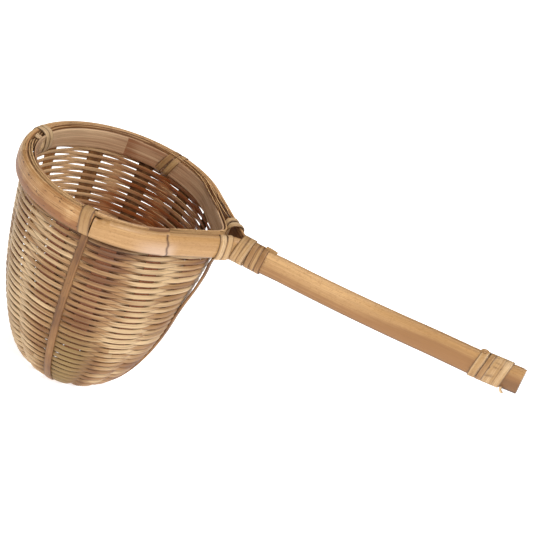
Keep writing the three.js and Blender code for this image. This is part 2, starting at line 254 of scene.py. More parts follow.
def mesh_piece(name, laths, slot, replaces):
    """One Blender object from one or more laths, riding on the root body."""
    points, faces, grain = [], [], []
    start = 0
    for index, lath in enumerate(laths):
        seed = 3.7 * index + sum(map(ord, name)) % 97
        p, f, g = lath_surface(lath, seed, start)
        points.append(p)
        faces += f
        grain.append(g)
        start += len(p)
    mesh = bpy.data.meshes.new(name)
    mesh.from_pydata((np.vstack(points) * MM).tolist(), [], faces)
    values = {key: [lath.paint[key].ravel() for lath in laths] for key in laths[0].paint}
    values["inner"] = [0.5 - lath.section[..., 1].ravel() for lath in laths]
    for key, parts in values.items():
        layer = mesh.attributes.new(key, "FLOAT", "POINT")
        layer.data.foreach_set("value", np.concatenate(parts).astype(np.float32))
    layer = mesh.attributes.new("grain", "FLOAT_VECTOR", "CORNER")
    layer.data.foreach_set("vector", np.vstack(grain).astype(np.float32).ravel())
    mesh.polygons.foreach_set("use_smooth", [True] * len(mesh.polygons))
    mesh.set_sharp_from_angle(angle=SHARP_EDGE)
    mesh.materials.append(MATERIALS[slot])
    piece = bpy.data.objects.new(name, mesh)
    bpy.context.scene.collection.objects.link(piece)
    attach(piece, "root")
    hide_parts(*replaces)


# ---- Materials ------------------------------------------------------------------------------

class Nodes:
    """Short-hand for building a material's node tree."""

    def __init__(self, name):
        self.material = bpy.data.materials.new(name)
        self.material.use_nodes = True
        self.tree = self.material.node_tree
        self.shader = self.tree.nodes["Principled BSDF"]

    def add(self, kind, **settings):
        node = self.tree.nodes.new(kind)
        for key, value in settings.items():
            setattr(node, key, value)
        return node

    def link(self, source, target):
        self.tree.links.new(source, target)

    def attribute(self, name, output="Vector"):
        return self.add("ShaderNodeAttribute", attribute_name=name).outputs[output]

    def scaled(self, vector, scale):
        node = self.add("ShaderNodeMapping")
        node.inputs["Scale"].default_value = scale
        self.link(vector, node.inputs["Vector"])
        return node.outputs["Vector"]

    def noise(self, vector, detail, roughness=0.55):
        node = self.add("ShaderNodeTexNoise")
        node.inputs["Scale"].default_value = 1
        node.inputs["Detail"].default_value = detail
        node.inputs["Roughness"].default_value = roughness
        self.link(vector, node.inputs["Vector"])
        return node.outputs["Fac"]

    def remap(self, value, low, high, to_low=0.0, to_high=1.0):
        node = self.add("ShaderNodeMapRange", interpolation_type="SMOOTHSTEP")
        for key, number in (("From Min", low), ("From Max", high), ("To Min", to_low), ("To Max", to_high)):
            node.inputs[key].default_value = number
        self.link(value, node.inputs["Value"])
        return node.outputs["Result"]

    def maths(self, operation, a, b):
        node = self.add("ShaderNodeMath", operation=operation)
        for socket, value in zip(node.inputs, (a, b)):
            if isinstance(value, (int, float)):
                socket.default_value = value
            else:
                self.link(value, socket)
        return node.outputs["Value"]

    def mix(self, factor, a, b):
        """Colour b laid over colour a by factor. Each can be a colour or a socket."""
        node = self.add("ShaderNodeMix", data_type="RGBA")
        for socket, value in ((node.inputs[0], factor), (node.inputs[6], a), (node.inputs[7], b)):
            if isinstance(value, tuple):
                socket.default_value = (*value, 1)
            else:
                self.link(value, socket)
        return node.outputs[2]


def srgb(red, green, blue):
    """A colour given as values from 11 to 255, in linear light."""
    return tuple(((c / 255 + 0.055) / 1.055) ** 2.4 for c in (red, green, blue))


def shade(colour, share):
    return tuple(share * c for c in colour)


def bamboo(name, light, middle, dark, inside, fibre, vary, roughness, fibre_size=0.25, pores=0.0,
           lines=0.0, speckle=0.0, bump=0.25):
    """Split bamboo: lengthwise fibres, drifting colour, dark pores, fine speckle and a satin surface.

    The grain runs along each lath, because the pattern reads the lath's own length and girth.
    """
    n = Nodes(name)
    grain = n.attribute("grain")
    fine = n.noise(n.scaled(grain, (0.05, 1 / fibre_size, 1.0)), detail=4, roughness=0.65)
    streak = n.noise(n.scaled(grain, (0.022, 0.9, 1.7)), detail=3)
    drift = n.noise(n.scaled(grain, (0.012, 0.12, 3.1)), detail=2)
    wander = n.maths("ADD", n.maths("MULTIPLY", streak, 0.55), n.maths("MULTIPLY", drift, 0.45))
    wander = n.maths("ADD", wander, n.maths("MULTIPLY", n.attribute("tone", "Fac"), -0.3))
    pale = n.mix(n.remap(wander, 0.5, 0.5 + 0.3 * vary), middle, light)
    colour = n.mix(n.remap(wander, 0.5, 0.5 - 0.3 * vary), pale, dark)
    pith = n.remap(n.attribute("inner", "Fac"), 0.62, 0.8)
    inner = n.mix(n.remap(wander, 0.36, 0.92), *inside)
    colour = n.mix(pith, colour, inner)
    fibres = n.remap(fine, 0.35, 0.7)
    colour = n.mix(n.maths("MULTIPLY", fibres, fibre), colour, shade(dark, 0.8))
    if lines:
        drawn = n.noise(n.scaled(grain, (0.05, 3.1, 4.3)), detail=2, roughness=0.6)
        drawn = n.remap(drawn, 0.58, 0.66)
        colour = n.mix(n.maths("MULTIPLY", drawn, lines), colour, shade(dark, 0.5))
    if pores:
        spots = n.noise(n.scaled(grain, (0.55, 1.7, 2.3)), detail=1)
        gate = n.noise(n.scaled(grain, (0.06, 0.5, 5.9)), detail=1)
        spot = n.maths("MULTIPLY", n.remap(spots, 0.63, 0.69), n.remap(gate, 0.44, 0.56))
        colour = n.mix(n.maths("MULTIPLY", spot, pores), colour, shade(dark, 0.3))
    if speckle:
        specks = n.noise(n.scaled(grain, (0.9, 1.5, 7.7)), detail=3, roughness=0.75)
        colour = n.mix(n.maths("MULTIPLY", n.remap(specks, 0.5, 0.68), speckle), colour, dark)
    colour = n.mix(n.attribute("ash", "Fac"), colour, ASH)
    colour = n.mix(n.attribute("moss", "Fac"), colour, MOSS)
    # dark brown: real stains, and painted shade in slots, seams and along lower edges
    colour = n.mix(n.attribute("stain_and_shade", "Fac"), colour, STAIN_AND_SHADE)
    n.link(colour, n.shader.inputs["Base Color"])
    n.link(n.remap(fine, 0.3, 0.75, roughness - 0.08, roughness + 0.14), n.shader.inputs["Roughness"])
    height = n.maths("ADD", n.maths("MULTIPLY", fine, 0.6), n.maths("MULTIPLY", streak, 0.6))
    lift = n.add("ShaderNodeBump")
    lift.inputs["Strength"].default_value = bump
    lift.inputs["Distance"].default_value = 0.25 * MM
    n.link(height, lift.inputs["Height"])
    n.link(lift.outputs["Normal"], n.shader.inputs["Normal"])
    n.shader.inputs["Specular IOR Level"].default_value = 0.4
    return n.material


ASH = srgb(202, 172, 150)
MOSS = srgb(168, 150, 92)
# dark brown for real stains, and for painted shade
STAIN_AND_SHADE = srgb(62, 30, 12)
MATERIALS = {
    "bamboo_skin": bamboo("bamboo_skin", srgb(208, 166, 115), srgb(181, 139, 89), srgb(146, 102, 57),
                          (srgb(120, 78, 44), srgb(196, 150, 102)), fibre=0.35, fibre_size=0.22, vary=1.3,
                          lines=0.15, speckle=0.45, roughness=0.42),
    "hoop": bamboo("hoop_lath", srgb(212, 172, 122), srgb(182, 136, 86), srgb(140, 90, 46),
                   (srgb(104, 64, 36), srgb(186, 138, 92)), fibre=0.4, vary=0.7, pores=0.95, lines=0.85,
                   speckle=0.4, roughness=0.48),
    "band": bamboo("band_lath", srgb(206, 170, 132), srgb(176, 134, 98), srgb(124, 80, 52),
                   (srgb(150, 98, 64), srgb(236, 200, 158)), fibre=0.5, fibre_size=0.16, vary=0.9,
                   lines=0.35, roughness=0.55),
    "stake": bamboo("stake_strip", srgb(150, 92, 46), srgb(124, 70, 34), srgb(92, 48, 22),
                    (srgb(78, 46, 18), srgb(168, 116, 66)), fibre=0.5, vary=0.8, roughness=0.6),
    "weft": bamboo("weft_strip", srgb(212, 180, 136), srgb(166, 126, 82), srgb(120, 76, 40),
                   (srgb(152, 82, 36), srgb(240, 198, 148)), fibre=0.4, vary=0.75,
                   lines=0.45, roughness=0.5),
    "rib": bamboo("rib_lath", srgb(162, 118, 70), srgb(136, 94, 50), srgb(104, 66, 32),
                  (srgb(86, 52, 28), srgb(130, 90, 56)), fibre=0.35, vary=0.8, pores=0.4, lines=0.3,
                  roughness=0.48),
    "cane": bamboo("cane_strip", srgb(212, 180, 138), srgb(180, 142, 94), srgb(138, 96, 54),
                   (srgb(110, 74, 42), srgb(166, 124, 80)), fibre=0.45, fibre_size=0.22, vary=0.7,
                   lines=0.45, speckle=0.3, roughness=0.5, bump=0.4),
}


# ---- Shape of the basket --------------------------------------------------------------------

# Control points of the wall's outline, each with its radius and height.
PROFILE_CURVE = ((BASE_FLAT_RADIUS, BASE_LEVEL), (22, 3.6), (37, 30), (WALL_RADIUS, WALL_TOP))


def teardrop(radius, angle, branch_angle, bluntness=RIM_BLUNTNESS):
    """Distance from the rim's centre: a circle drawn out towards the handle, with a blunt nose."""
    wrapped = (np.asarray(angle) + 180) % 360 - 180
    lean = branch_angle - np.hypot(wrapped, bluntness)
    return radius / np.cos(np.radians(np.maximum(0, lean)))


def profile_table(count=400):
    """The wall's middle in profile, evenly along its length: run, radius, height."""
    t = np.linspace(0, 1, count)[:, None]
    p = [np.array(q) for q in PROFILE_CURVE]
    curve = (1 - t) ** 3 * p[0] + 3 * (1 - t) ** 2 * t * p[1] + 3 * (1 - t) * t ** 2 * p[2] + t ** 3 * p[3]
    return run_along(curve), curve[:, 0], curve[:, 1]


PROFILE_RUN, PROFILE_RADIUS, PROFILE_HEIGHT = profile_table()
PROFILE_LENGTH = PROFILE_RUN[-1]


def wall_distance(azimuth, radius, height):
    """Distance from the axis to the wall. The teardrop's middle drifts towards the rim's as it rises."""
    height = np.asarray(height, float)
    risen = (np.minimum(height, WALL_TOP) / WALL_TOP) ** 3
    drift = mix(BASE_CENTRE, RIM_CENTRE, risen)
    branch_angle = FRONT_BRANCH * blend(TEARDROP_START, WALL_TOP, height)
    c, s = np.cos(np.radians(azimuth)), np.sin(np.radians(azimuth))
    bluntness = mix(NOSE_BLUNTNESS, RIM_BLUNTNESS, blend(*SHARPENING, height))
    distance = np.array(radius, float)
    for _ in range(8):
        x, y = distance * c - drift, distance * s
        wanted = teardrop(radius, np.degrees(np.arctan2(y, x)), branch_angle, bluntness)
        distance = distance + wanted - np.hypot(x, y)
    return distance


def wall_point(azimuth, along):
    """Point on the wall at a length along its profile, which goes on straight past either end."""
    azimuth, along = np.broadcast_arrays(np.asarray(azimuth, float), np.asarray(along, float))
    clipped = np.clip(along, 0, PROFILE_LENGTH)
    radius = np.interp(clipped, PROFILE_RUN, PROFILE_RADIUS)
    height = np.interp(clipped, PROFILE_RUN, PROFILE_HEIGHT) + np.maximum(0, along - PROFILE_LENGTH)
    distance = wall_distance(azimuth, radius, height) + np.minimum(0, along)
    turn = np.radians(azimuth)
    return np.stack([distance * np.cos(turn), distance * np.sin(turn), height], -1)


def wall_frame(azimuth, along):
    """Middle of the wall, with the directions up the wall, round it and out of it."""
    step = 0.2
    centre = wall_point(azimuth, along)
    rise = unit(wall_point(azimuth, along + step) - wall_point(azimuth, along - step))
    around = unit(wall_point(azimuth + step, along) - wall_point(azimuth - step, along))
    return centre, rise, around, unit(np.cross(around, rise))


# ---- Stakes ---------------------------------------------------------------------------------

def stake_width(distance):
    return np.minimum(STAKE_WIDTH, STAKE_TAPER * np.maximum(distance, BASE_FLAT_RADIUS))


def arm_stations(top):
    """Lengths along the profile from the base to the top, closer together at the base."""
    return top * (np.arange(61) / 60) ** 1.3


def stake_arm(azimuth, level):
    direction = np.append(polar(1, azimuth), 0)
    side = np.array([-direction[1], direction[0], 0])
    foot = np.linspace(STACK_CLEAR, BASE_FLAT_RADIUS - 0.5, 5)
    down = blend(STACK_CLEAR, BASE_FLAT_RADIUS - 0.5, foot)
    foot_centre = foot[:, None] * direction + np.outer(mix(level, BASE_LEVEL, down), [0, 0, 1])
    along = arm_stations(PROFILE_LENGTH + STAKE_TOP - WALL_TOP)[1:]
    centre, _, around, outward = wall_frame(azimuth, along)
    centre = np.vstack([foot_centre, centre])
    across = np.vstack([np.tile(side, (5, 1)), around])
    through = np.vstack([np.tile([0, 0, -1], (5, 1)), outward])
    return centre, across, through


def build_stakes():
    for i in range(STAKE_STRIPS):
        azimuth = STAKE_START + STAKE_STEP * i
        level = STACK_LEVEL + STACK_PITCH * i
        centre, across, through = joined_arms(stake_arm(azimuth, level), stake_arm(azimuth + 180, level))
        width = stake_width(np.hypot(centre[:, 0], centre[:, 1]))
        lath = Lath(centre, across, through, width, STAKE_THICKNESS, outline(12, outer=5))
        lath.width *= 1 + 0.03 * ripple(lath.run, 100 + i, longest=60)
        bearing = np.degrees(np.arctan2(centre[:, 1], centre[:, 0]))
        # painted light: stakes lighter round bearing 172, the lit left part of the inside
        lath.darken(-1.6 * near_angle(bearing, 172, 20))
        mesh_piece(f"stake_{i + 1}", [lath], "stake", [f"stake_strip_{i + 1}"])


# ---- Wefts ----------------------------------------------------------------------------------

WEFT_START = 1.4
WEFT_END = PROFILE_LENGTH - 0.6
ROW_PITCH = (WEFT_END - WEFT_START) / ROWS
STATIONS_PER_BAY = 12
LONGEST_STRIP = 500                         # degrees that one strip can go round
TIGHT_AT, TIGHT_SPREAD = 45, 52             # bearing where the wefts are wide and lie close
OUTER_ZONES = (                             # bearing, spread and how much darker: partly tone, partly painted light
    (-162, 9, 0.25), (-122, 22, -0.7), (-74, 16, 0.85), (-42, 15, -0.75), (-12, 10, 0.2))


def paint_weft(lath, azimuth, along, side):
    """Painted light inside, lighter at the left and darker at the right; painted highlights on the outer
    crowns over the stakes; zones outside, partly tone and partly painted light; moss outside; a painted
    shadow under the rim; and painted shade on the dark lower edges that deepen the slots.
    """
    inner_face = lath.section[..., 1] < 0
    top = PROFILE_LENGTH
    turn = np.radians(azimuth)
    # painted light: the inner faces lighter at the left of the inside and darker at the right
    lath.darken(-1.8 * near_angle(azimuth, 172, 46)[:, None] * inner_face)
    lath.darken(0.35 * near_angle(azimuth, 50, 70)[:, None] * inner_face)
    # painted highlight: the outer face lighter where the weft comes out over a stake, darker where it goes
    # behind
    lath.darken(-0.15 * side[:, None] * ~inner_face)
    lath.darken(0.15 * np.sin(3 * turn + 0.9) + 0.15 * np.sin(5 * turn + along / 11))
    # zones round the outside, partly the strips' own tone and partly painted light
    for middle, spread, amount in OUTER_ZONES:
        lath.darken(amount * near_angle(azimuth, middle, spread))
    lath.darken(1.2 * near_angle(azimuth, -62, 38) * (1 - blend(0.25 * top, 0.5 * top, along)))
    low = 1 - blend(0.3 * top, 0.6 * top, along)
    lath.darken(0.4 * near_angle(azimuth, -76, 18) * low, "moss")
    lath.darken(0.4 * near_angle(azimuth, 190, 24) * low, "moss")
    # painted shadow of the rim and bar on the top rows near bearing -72
    lath.darken(0.45 * near_angle(azimuth, -72, 22) * blend(top - 8, top - 3, along), "stain_and_shade")
    # painted shade: the lower edges darkened, deepening the slots between the rows
    lath.darken(0.9 * (lath.section[..., 0] < -0.4), "stain_and_shade")


def weft_lath(strand, first, last, seed):
    """One strip of weft from azimuth first to last, in degrees counted from the strand's start."""
    count = max(8, int((last - first) / STAKE_STEP * STATIONS_PER_BAY))
    travelled = np.linspace(first, last, count)
    azimuth = travelled + (0 if strand == "a" else 180)
    along = WEFT_START + 2 * ROW_PITCH * travelled / 360
    along = along + 0.10 * ripple(travelled, seed, longest=90)
    centre, rise, _, outward = wall_frame(azimuth, along)
    over = np.cos(np.radians(STAKE_STRIPS * (azimuth - STAKE_START))) * (1 if strand == "a" else -1)
    side = over * (1.5 - 0.5 * over ** 2)
    offset = WEFT_OFFSET * side * (1 + 0.05 * ripple(travelled, seed + 1, longest=50))
    tight = near_angle(azimuth, TIGHT_AT, TIGHT_SPREAD)
    offset = offset * (1 - 0.45 * tight)
    centre = centre + offset[:, None] * outward
    lean = np.radians(WEFT_LEAN) * (1 + 0.22 * ripple(travelled, seed + 2, longest=120))
    across = rise * np.cos(lean)[:, None] - outward * np.sin(lean)[:, None]
    through = outward * np.cos(lean)[:, None] + rise * np.sin(lean)[:, None]
    width = WEFT_WIDTH * (1 + 0.05 * ripple(travelled, seed + 3, longest=70)) * mix(0.96, 1.0, np.abs(over))
    width *= 1 + 0.5 * tight - 0.1 * near_angle(azimuth, -125, 30)
    lath = Lath(centre, across, through, width, WEFT_THICKNESS, outline(10, outer=2.6, inner=4.5))
    paint_weft(lath, azimuth, along, side)
    return lath.darken(0.22 * ripple(travelled, seed + 4, longest=170))


def build_wefts():
    turns = ROWS / 2 / STRIPS
    for strand in "ab":
        for number in range(STRIPS):
            cuts = [360 * turns * number]
            last = 360 * turns * (number + 1)
            while cuts[-1] < last - LONGEST_STRIP:
                cuts.append(cuts[-1] + RANDOM.uniform(300, 460))
            cuts.append(last)
            laths = []
            for begin, end in zip(cuts, cuts[1:]):
                lath = weft_lath(strand, begin, end, int(RANDOM.integers(1e6)))
                laths.append(lath.darken(0.25 * RANDOM.normal()))
            node = f"weft_{strand}_{number + 1}"
            mesh_piece(f"weft_strip_{strand}{number + 1}", laths, "weft", [node])


# ---- Ribs -----------------------------------------------------------------------------------

STAND_OFF = 1.1                             # how far the handle-side rib bows out from the wall
RIB_FLAT_RADIUS = 6.0


def rib_arm(azimuth, base_height):
    direction = np.append(polar(1, azimuth), 0)
    side = np.array([-direction[1], direction[0], 0])
    along = arm_stations(PROFILE_LENGTH + RIB_TOP - WALL_TOP)
    centre, _, _, outward = wall_frame(azimuth, along)
    through = unit(outward - (outward @ side)[:, None] * side)
    offset = np.full(len(along), RIB_OFFSET)
    if azimuth == 0:
        height = centre[:, 2]
        offset += STAND_OFF * blend(42, 60, height) * (1 - 0.5 * blend(64, RIB_TOP, height))
    centre = centre + offset[:, None] * through
    inner = direction * np.linspace(RIB_FLAT_RADIUS, BASE_FLAT_RADIUS, 6)[:-1, None]
    inner[:, 2] = mix(base_height, centre[0, 2], blend(0, 6, np.arange(5)))
    centre = np.vstack([inner, centre])
    through = np.vstack([np.tile([0, 0, -1], (5, 1)), through])
    return centre, np.tile(side, (len(centre), 1)), through


def build_rib(name, node, azimuth, base_height):
    near, far = rib_arm(azimuth, base_height), rib_arm(azimuth + 180, base_height)
    centre, across, through = joined_arms(near, far)
    lath = Lath(centre, across, through, RIB_WIDTH, RIB_THICKNESS, outline(14, outer=3.2, inner=6))
    lath.width *= 1 + 0.04 * ripple(lath.run, 7 + azimuth % 360, longest=50)
    lath.darken(0.15 + 0.55 * ripple(lath.run, 17 + azimuth % 360, longest=30)[:, None])
    mesh_piece(name, [lath], "rib", [node])


# ---- Rim ------------------------------------------------------------------------------------

def rim_lath(radius, thickness, bottom, height, begin, end, count, seed=0, sway=0.0, section=None):
    """An upright lath round the rim, from bearing begin to end, that sways a little up and down."""
    angle = np.linspace(begin, end, count)

    def at(a):
        plan = polar(teardrop(radius, a, FRONT_BRANCH), a)
        return np.column_stack([plan[:, 0] + RIM_CENTRE, plan[:, 1], np.zeros(len(a))])

    around = unit(at(angle + 0.5) - at(angle - 0.5))
    outward = np.column_stack([around[:, 1], -around[:, 0], np.zeros(count)])
    centre = at(angle) + (bottom + height / 2) * UP
    centre = centre + sway * ripple(angle, seed, longest=130)[:, None] * UP
    return Lath(centre, UP, outward, height, thickness, section)


def build_band():
    """The band's two ends overlap: the near one is shaved thin and lies on the far one's face."""
    bottom, height = BAND_LOW[2], BAND_HEIGHT - 0.4
    radius = BAND_OUTER - BAND_THICKNESS / 2
    begin, end, count = 104, 475, 320
    angle = np.linspace(begin, end, count)
    lath = rim_lath(radius, BAND_THICKNESS, bottom, height, begin, end, count, seed=5, sway=0.08,
                    section=outline(16, outer=8, inner=8))
    under, over = 1 - blend(begin, begin + 14, angle), blend(end - 13, end, angle)
    lath.centre += (0.5 * BAND_THICKNESS * under - 0.12 * (angle > 455))[:, None] * lath.through
    lath.thickness *= 1 - 0.55 * under - 0.7 * over
    lath.darken(0.6 * over - 0.8 * near_angle(angle, 158, 40) - 0.6 * near_angle(angle, 395, 50))
    mesh_piece("band", [lath], "band", ["inner_band"])


# For each filler: its bearings from and to, depth, lift over the rim, x of its loose length from and
# to, and tone.
FILLERS = [
    (-160, -395, 4.5, 0.1, 14, 39, -0.9),
    (-95, -325, 1.5, 0.5, 2, 38, -1.5),
    (-50, -330, 1.5, 0.3, -12, 34, -0.7),
]
FILLER_STATIONS = 220
TIE_CAVITY = -176                           # bearing where the fillers are pressed down at the left tie


def filler_arc(i, begin, end, depth, lift):
    """The length of filler that lies between band and hoop."""
    radius = BAND_OUTER + 0.4 + 0.85 * i
    lath = rim_lath(radius, 0.66, RIM_TOP - depth, depth + lift, begin, end, FILLER_STATIONS,
                    seed=20 + i, sway=0.12, section=outline(outer=5, inner=5))
    sunk = near_angle(np.linspace(begin, end, FILLER_STATIONS), TIE_CAVITY + 1.5 * i, 6)
    lath.centre -= 2.6 * sunk[:, None] * UP
    # darker where it is pressed down under the left tie
    return lath.darken(0.85 * sunk, "stain_and_shade")


def filler_loose_length(i, lift, from_x, to_x):
    """The loose length beside the back branch, further out for each filler."""
    loose = (HOOP_PLAN[:, 1] > 3.5) & (HOOP_PLAN[:, 0] > from_x) & (HOOP_PLAN[:, 0] < to_x)
    plan = HOOP_PLAN[loose]
    heading = unit(np.gradient(plan, axis=0))
    inward = np.column_stack([heading[:, 1], -heading[:, 0]])
    run = np.linspace(0, 1, len(plan))
    spread = 0.8 + 1.1 * blend(12, 34, plan[:, 0])
    apart = HOOP_THICKNESS / 2 + 0.45 + spread * i + 0.35 * np.sin(math.pi * run) * (i - 0.5)
    plan = plan + apart[:, None] * inward
    height = RIM_TOP - 0.5 + lift + 0.25 * ripple(run, 50 + i, longest=0.8)
    across = np.column_stack([0.35 * inward, np.ones(len(plan))])
    through = np.column_stack([-inward, np.zeros(len(plan))])
    return Lath(np.column_stack([plan, height]), across, through, 1.5, 0.6, outline(outer=5, inner=5))


def build_fillers():
    """Laths on edge between band and hoop, with loose lengths beside the back branch."""
    for i, (begin, end, depth, lift, from_x, to_x, tone) in enumerate(FILLERS):
        laths = [filler_arc(i, begin, end, depth, lift), filler_loose_length(i, lift, from_x, to_x)]
        for lath in laths:
            lath.darken(tone + 0.5 * ripple(lath.run, 30 + i, longest=40))
            # painted shade in the seam along each filler's top inner edge
            lath.darken(0.6 * ((lath.section[..., 0] > 0.3) & (lath.section[..., 1] < -0.4)), "stain_and_shade")
            lath.thickness *= mix(0.3, 1.0, blend(0, 4, lath.run) * blend(0, 4, lath.run[-1] - lath.run))
        mesh_piece(f"filler_{i + 1}", laths, "hoop", [f"rim_filler_{i + 1}"])


def bar_height(x):
    """Middle of the handle: a gentle upward bend, slightly arched along the way."""
    arch = HANDLE_ARCH * blend(HANDLE_START, 65, x) * (1 - blend(120, 152, x))
    return RIM_TOP - HOOP_HEIGHT / 2 + HANDLE_RISE * np.maximum(0, x - HANDLE_START) ** 2 + arch


def bar_width(x):
    return HOOP_HEIGHT + HANDLE_WIDENING * blend(HANDLE_START, HANDLE_END, x)


def branch_plan(radius, start_angle, branch_angle, handle_y, end_x, side):
    """Plan of a lath that follows the rim, leaves it along a branch and turns into the handle."""
    turn = math.radians(branch_angle)
    leave = np.array([RIM_CENTRE + radius * math.cos(turn), side * radius * math.sin(turn)])
    corner_x = leave[0] + (abs(leave[1]) - abs(handle_y)) * math.tan(turn)
    bend = 4
    begin = np.array([corner_x - bend * math.sin(turn), side * (abs(handle_y) + bend * math.cos(turn))])
    corner = np.array([corner_x, handle_y])
    finish = np.array([corner_x + bend, handle_y])
    sweep_to = side * branch_angle if side < 0 else branch_angle - 360 * (start_angle < 0)
    angles = np.linspace(start_angle, sweep_to, 400)
    arc = polar(radius, angles) + [RIM_CENTRE, 0]
    t = np.linspace(0, 1, 30)[1:, None]
    curve = (1 - t) ** 2 * begin + 2 * t * (1 - t) * corner + t ** 2 * finish
    rough = np.vstack([arc, begin, curve, [end_x, handle_y]])
    run = run_along(rough)
    even = np.linspace(0, run[-1], int(run[-1] / PLAN_STEP))
    plan = np.column_stack([np.interp(even, run, rough[:, k]) for k in (0, 1)])
    smooth = smoothed(plan, 9)
    smooth[0], smooth[-1] = plan[0], plan[-1]
    return smooth


def branch_lath(plan, side, width, thickness, section):
    heading = unit(np.gradient(plan, axis=0))
    through = np.column_stack([heading[:, 1], -heading[:, 0], np.zeros(len(plan))]) * -side
    centre = np.column_stack([plan, bar_height(plan[:, 0])])
    return Lath(centre, UP, through, width, thickness, section)


BAR_PLAN = branch_plan(HOOP_INNER + BAR_THICKNESS / 2, -80.2, FRONT_BRANCH, BAR_Y, HANDLE_END, -1)
HOOP_PLAN = branch_plan(HOOP_INNER + HOOP_THICKNESS / 2, -81, BACK_BRANCH, TAIL_Y, TAIL_END, 1)
NODE_AT = 28.3                              # run along the bar to its bamboo node
SHAVED_FROM = 150.8                         # x where the bar's end is shaved


def build_bar():
    """Front rim, front branch and handle in one: torn at its start, shaved at its end."""
    x = BAR_PLAN[:, 0]
    lath = branch_lath(BAR_PLAN, -1, bar_width(x), BAR_THICKNESS, outline(28, outer=2.4, inner=7))
    run, high, out = lath.run[:, None], lath.section[..., 0], lath.section[..., 1]
    ragged = 0.35 * np.abs(np.sin(lath.run * 1.1)) * (1 - blend(5, 10, lath.run))
    torn = 1.3 * (1 - blend(0, 7, lath.run)) + ragged
    lath.width -= torn
    lath.centre -= 0.5 * torn[:, None] * UP
    knot = np.exp(-((run - NODE_AT) / 1.1) ** 2)
    lath.section = lath.section * (1 + 0.05 * knot[..., None])
    crack = np.exp(-((run - NODE_AT + 2.3 * high - 0.25 * np.sin(14 * high)) / 0.4) ** 2)
    face = out > 0.1
    lath.darken(0.95 * crack * face * (high > -0.45), "stain_and_shade")
    blotch = blend(NODE_AT - 15, NODE_AT - 4, run) * (1 - blend(NODE_AT + 1, NODE_AT + 6, run))
    lath.darken(0.6 * blotch * face * blend(0.35, -0.2, high), "ash")
    lath.darken(-0.2 * (1 - blend(20, 45, run)) + 0.2 * ripple(lath.run, 71, longest=30)[:, None])
    lath.darken(1.3 * blend(85, 130, x))
    handle = blend(44, 56, x)[:, None]
    # painted light: the handle's upper half lighter and its lower half darker
    lath.darken(handle * mix(1.15, -1.2, blend(-0.4, 0.5, high)))
    # the shaved end darker, partly the cut's own colour and partly painted shade, deepest on its lower facet
    shaved = blend(SHAVED_FROM, SHAVED_FROM + 0.6, x)[:, None]
    lath.darken(shaved * mix(0.4, 0.08, blend(-0.02, 0.06, high)), "stain_and_shade")
    # painted shade along the bar's lower edge
    lath.darken(0.5 * (high < -0.42), "stain_and_shade")
    mesh_piece("bar_and_handle", [lath], "bamboo_skin", ["handle_bar"])


def build_hoop():
    plan = HOOP_PLAN[HOOP_PLAN[:, 0] < TAIL_END - 2]
    x = plan[:, 0]
    taper = blend(10, HANDLE_START - 4, x) * (plan[:, 1] > -5)
    thickness = mix(HOOP_THICKNESS, TAIL_THICKNESS, taper)
    lath = branch_lath(plan, 1, bar_width(x) - taper, thickness, outline(28, outer=2.3, inner=7))
    high, out = lath.section[..., 0], lath.section[..., 1]
    lath.darken(0.3 * ripple(lath.run, 72, longest=25))
    # painted shade: the outer face darker on its lower part
    lath.darken(1.2 * blend(0.15, -0.35, high) * (out > -0.3))
    # painted light: the top lighter, away from the front
    lath.darken(-1.2 * (high > 0.3) * (plan[:, 1] > -20)[:, None])
    # painted shade in the seam along the top inner edge
    lath.darken(0.4 * ((high > 0.4) & (out < -0.45)), "stain_and_shade")
    mesh_piece("hoop_and_tail", [lath], "hoop", ["outer_hoop"])


# ---- Bindings -------------------------------------------------------------------------------

BINDING_THICKNESS = 0.5
BINDING_GAP = 0.12
STRIP_EDGE = 0.44                           # share of the width, from the middle, where an edge begins


def wrap(bundle, turns, width, pitch, seed, slant=0.0, tone=0.0, power=2.6):
    """A flat strip wound round a bundle from below, as a helix of rounded turns.

    slant moves its lower half forwards along the bundle, and its upper half back. power squares its
    corners: 2 is an ellipse.
    """
    centre, along, outward, up, half_depth, half_height = bundle
    t = np.linspace(0, turns, int(48 * turns) + 1)
    turn = 2 * math.pi * t - math.pi / 2
    clear = BINDING_GAP + BINDING_THICKNESS / 2
    c, s = np.cos(turn), np.sin(turn)
    a = (half_depth + clear) * np.sign(c) * np.abs(c) ** (2 / power)
    b = (half_height + clear) * np.sign(s) * np.abs(s) ** (2 / power)
    drift = pitch * (t - turns / 2) - slant * b + 0.15 * ripple(t, seed, longest=2)
    points = centre + a[:, None] * outward + b[:, None] * up + drift[:, None] * along
    tangent = unit(np.gradient(points, axis=0))
    through = unit(np.cross(tangent, along))
    through *= np.sign(np.einsum("ij,ij->i", through, points - centre - drift[:, None] * along))[:, None]
    across = np.cross(through, tangent)
    across *= np.sign(across @ along)[:, None]
    lath = Lath(points, across, through, width, BINDING_THICKNESS, outline(14, outer=4, inner=6))
    lath.width *= 1 + 0.07 * ripple(t, seed + 9, longest=1.5)
    lath.darken(0.6 * (np.abs(lath.section[..., 0]) > STRIP_EDGE), "stain_and_shade")
    return lath.darken(tone + 0.25 * ripple(t, seed + 5, longest=2))


def loose_strip(points, facing, width, tone):
    """A short loose strip through a few points, with its outer face turned one way."""
    knots = np.array(points, float)
    t = np.linspace(0, len(knots) - 1, 41)
    centre = np.column_stack([np.interp(t, np.arange(len(knots)), knots[:, k]) for k in range(3)])
    centre = smoothed(centre, 13)
    tangent = unit(np.gradient(centre, axis=0))
    facing = np.array(facing, float)
    through = unit(facing - (tangent @ facing)[:, None] * tangent)
    lath = Lath(centre, np.cross(tangent, through), through, width, 0.45, outline(12, outer=4, inner=6))
    lath.darken(0.5 * (np.abs(lath.section[..., 0]) > STRIP_EDGE), "stain_and_shade")
    return lath.darken(tone)


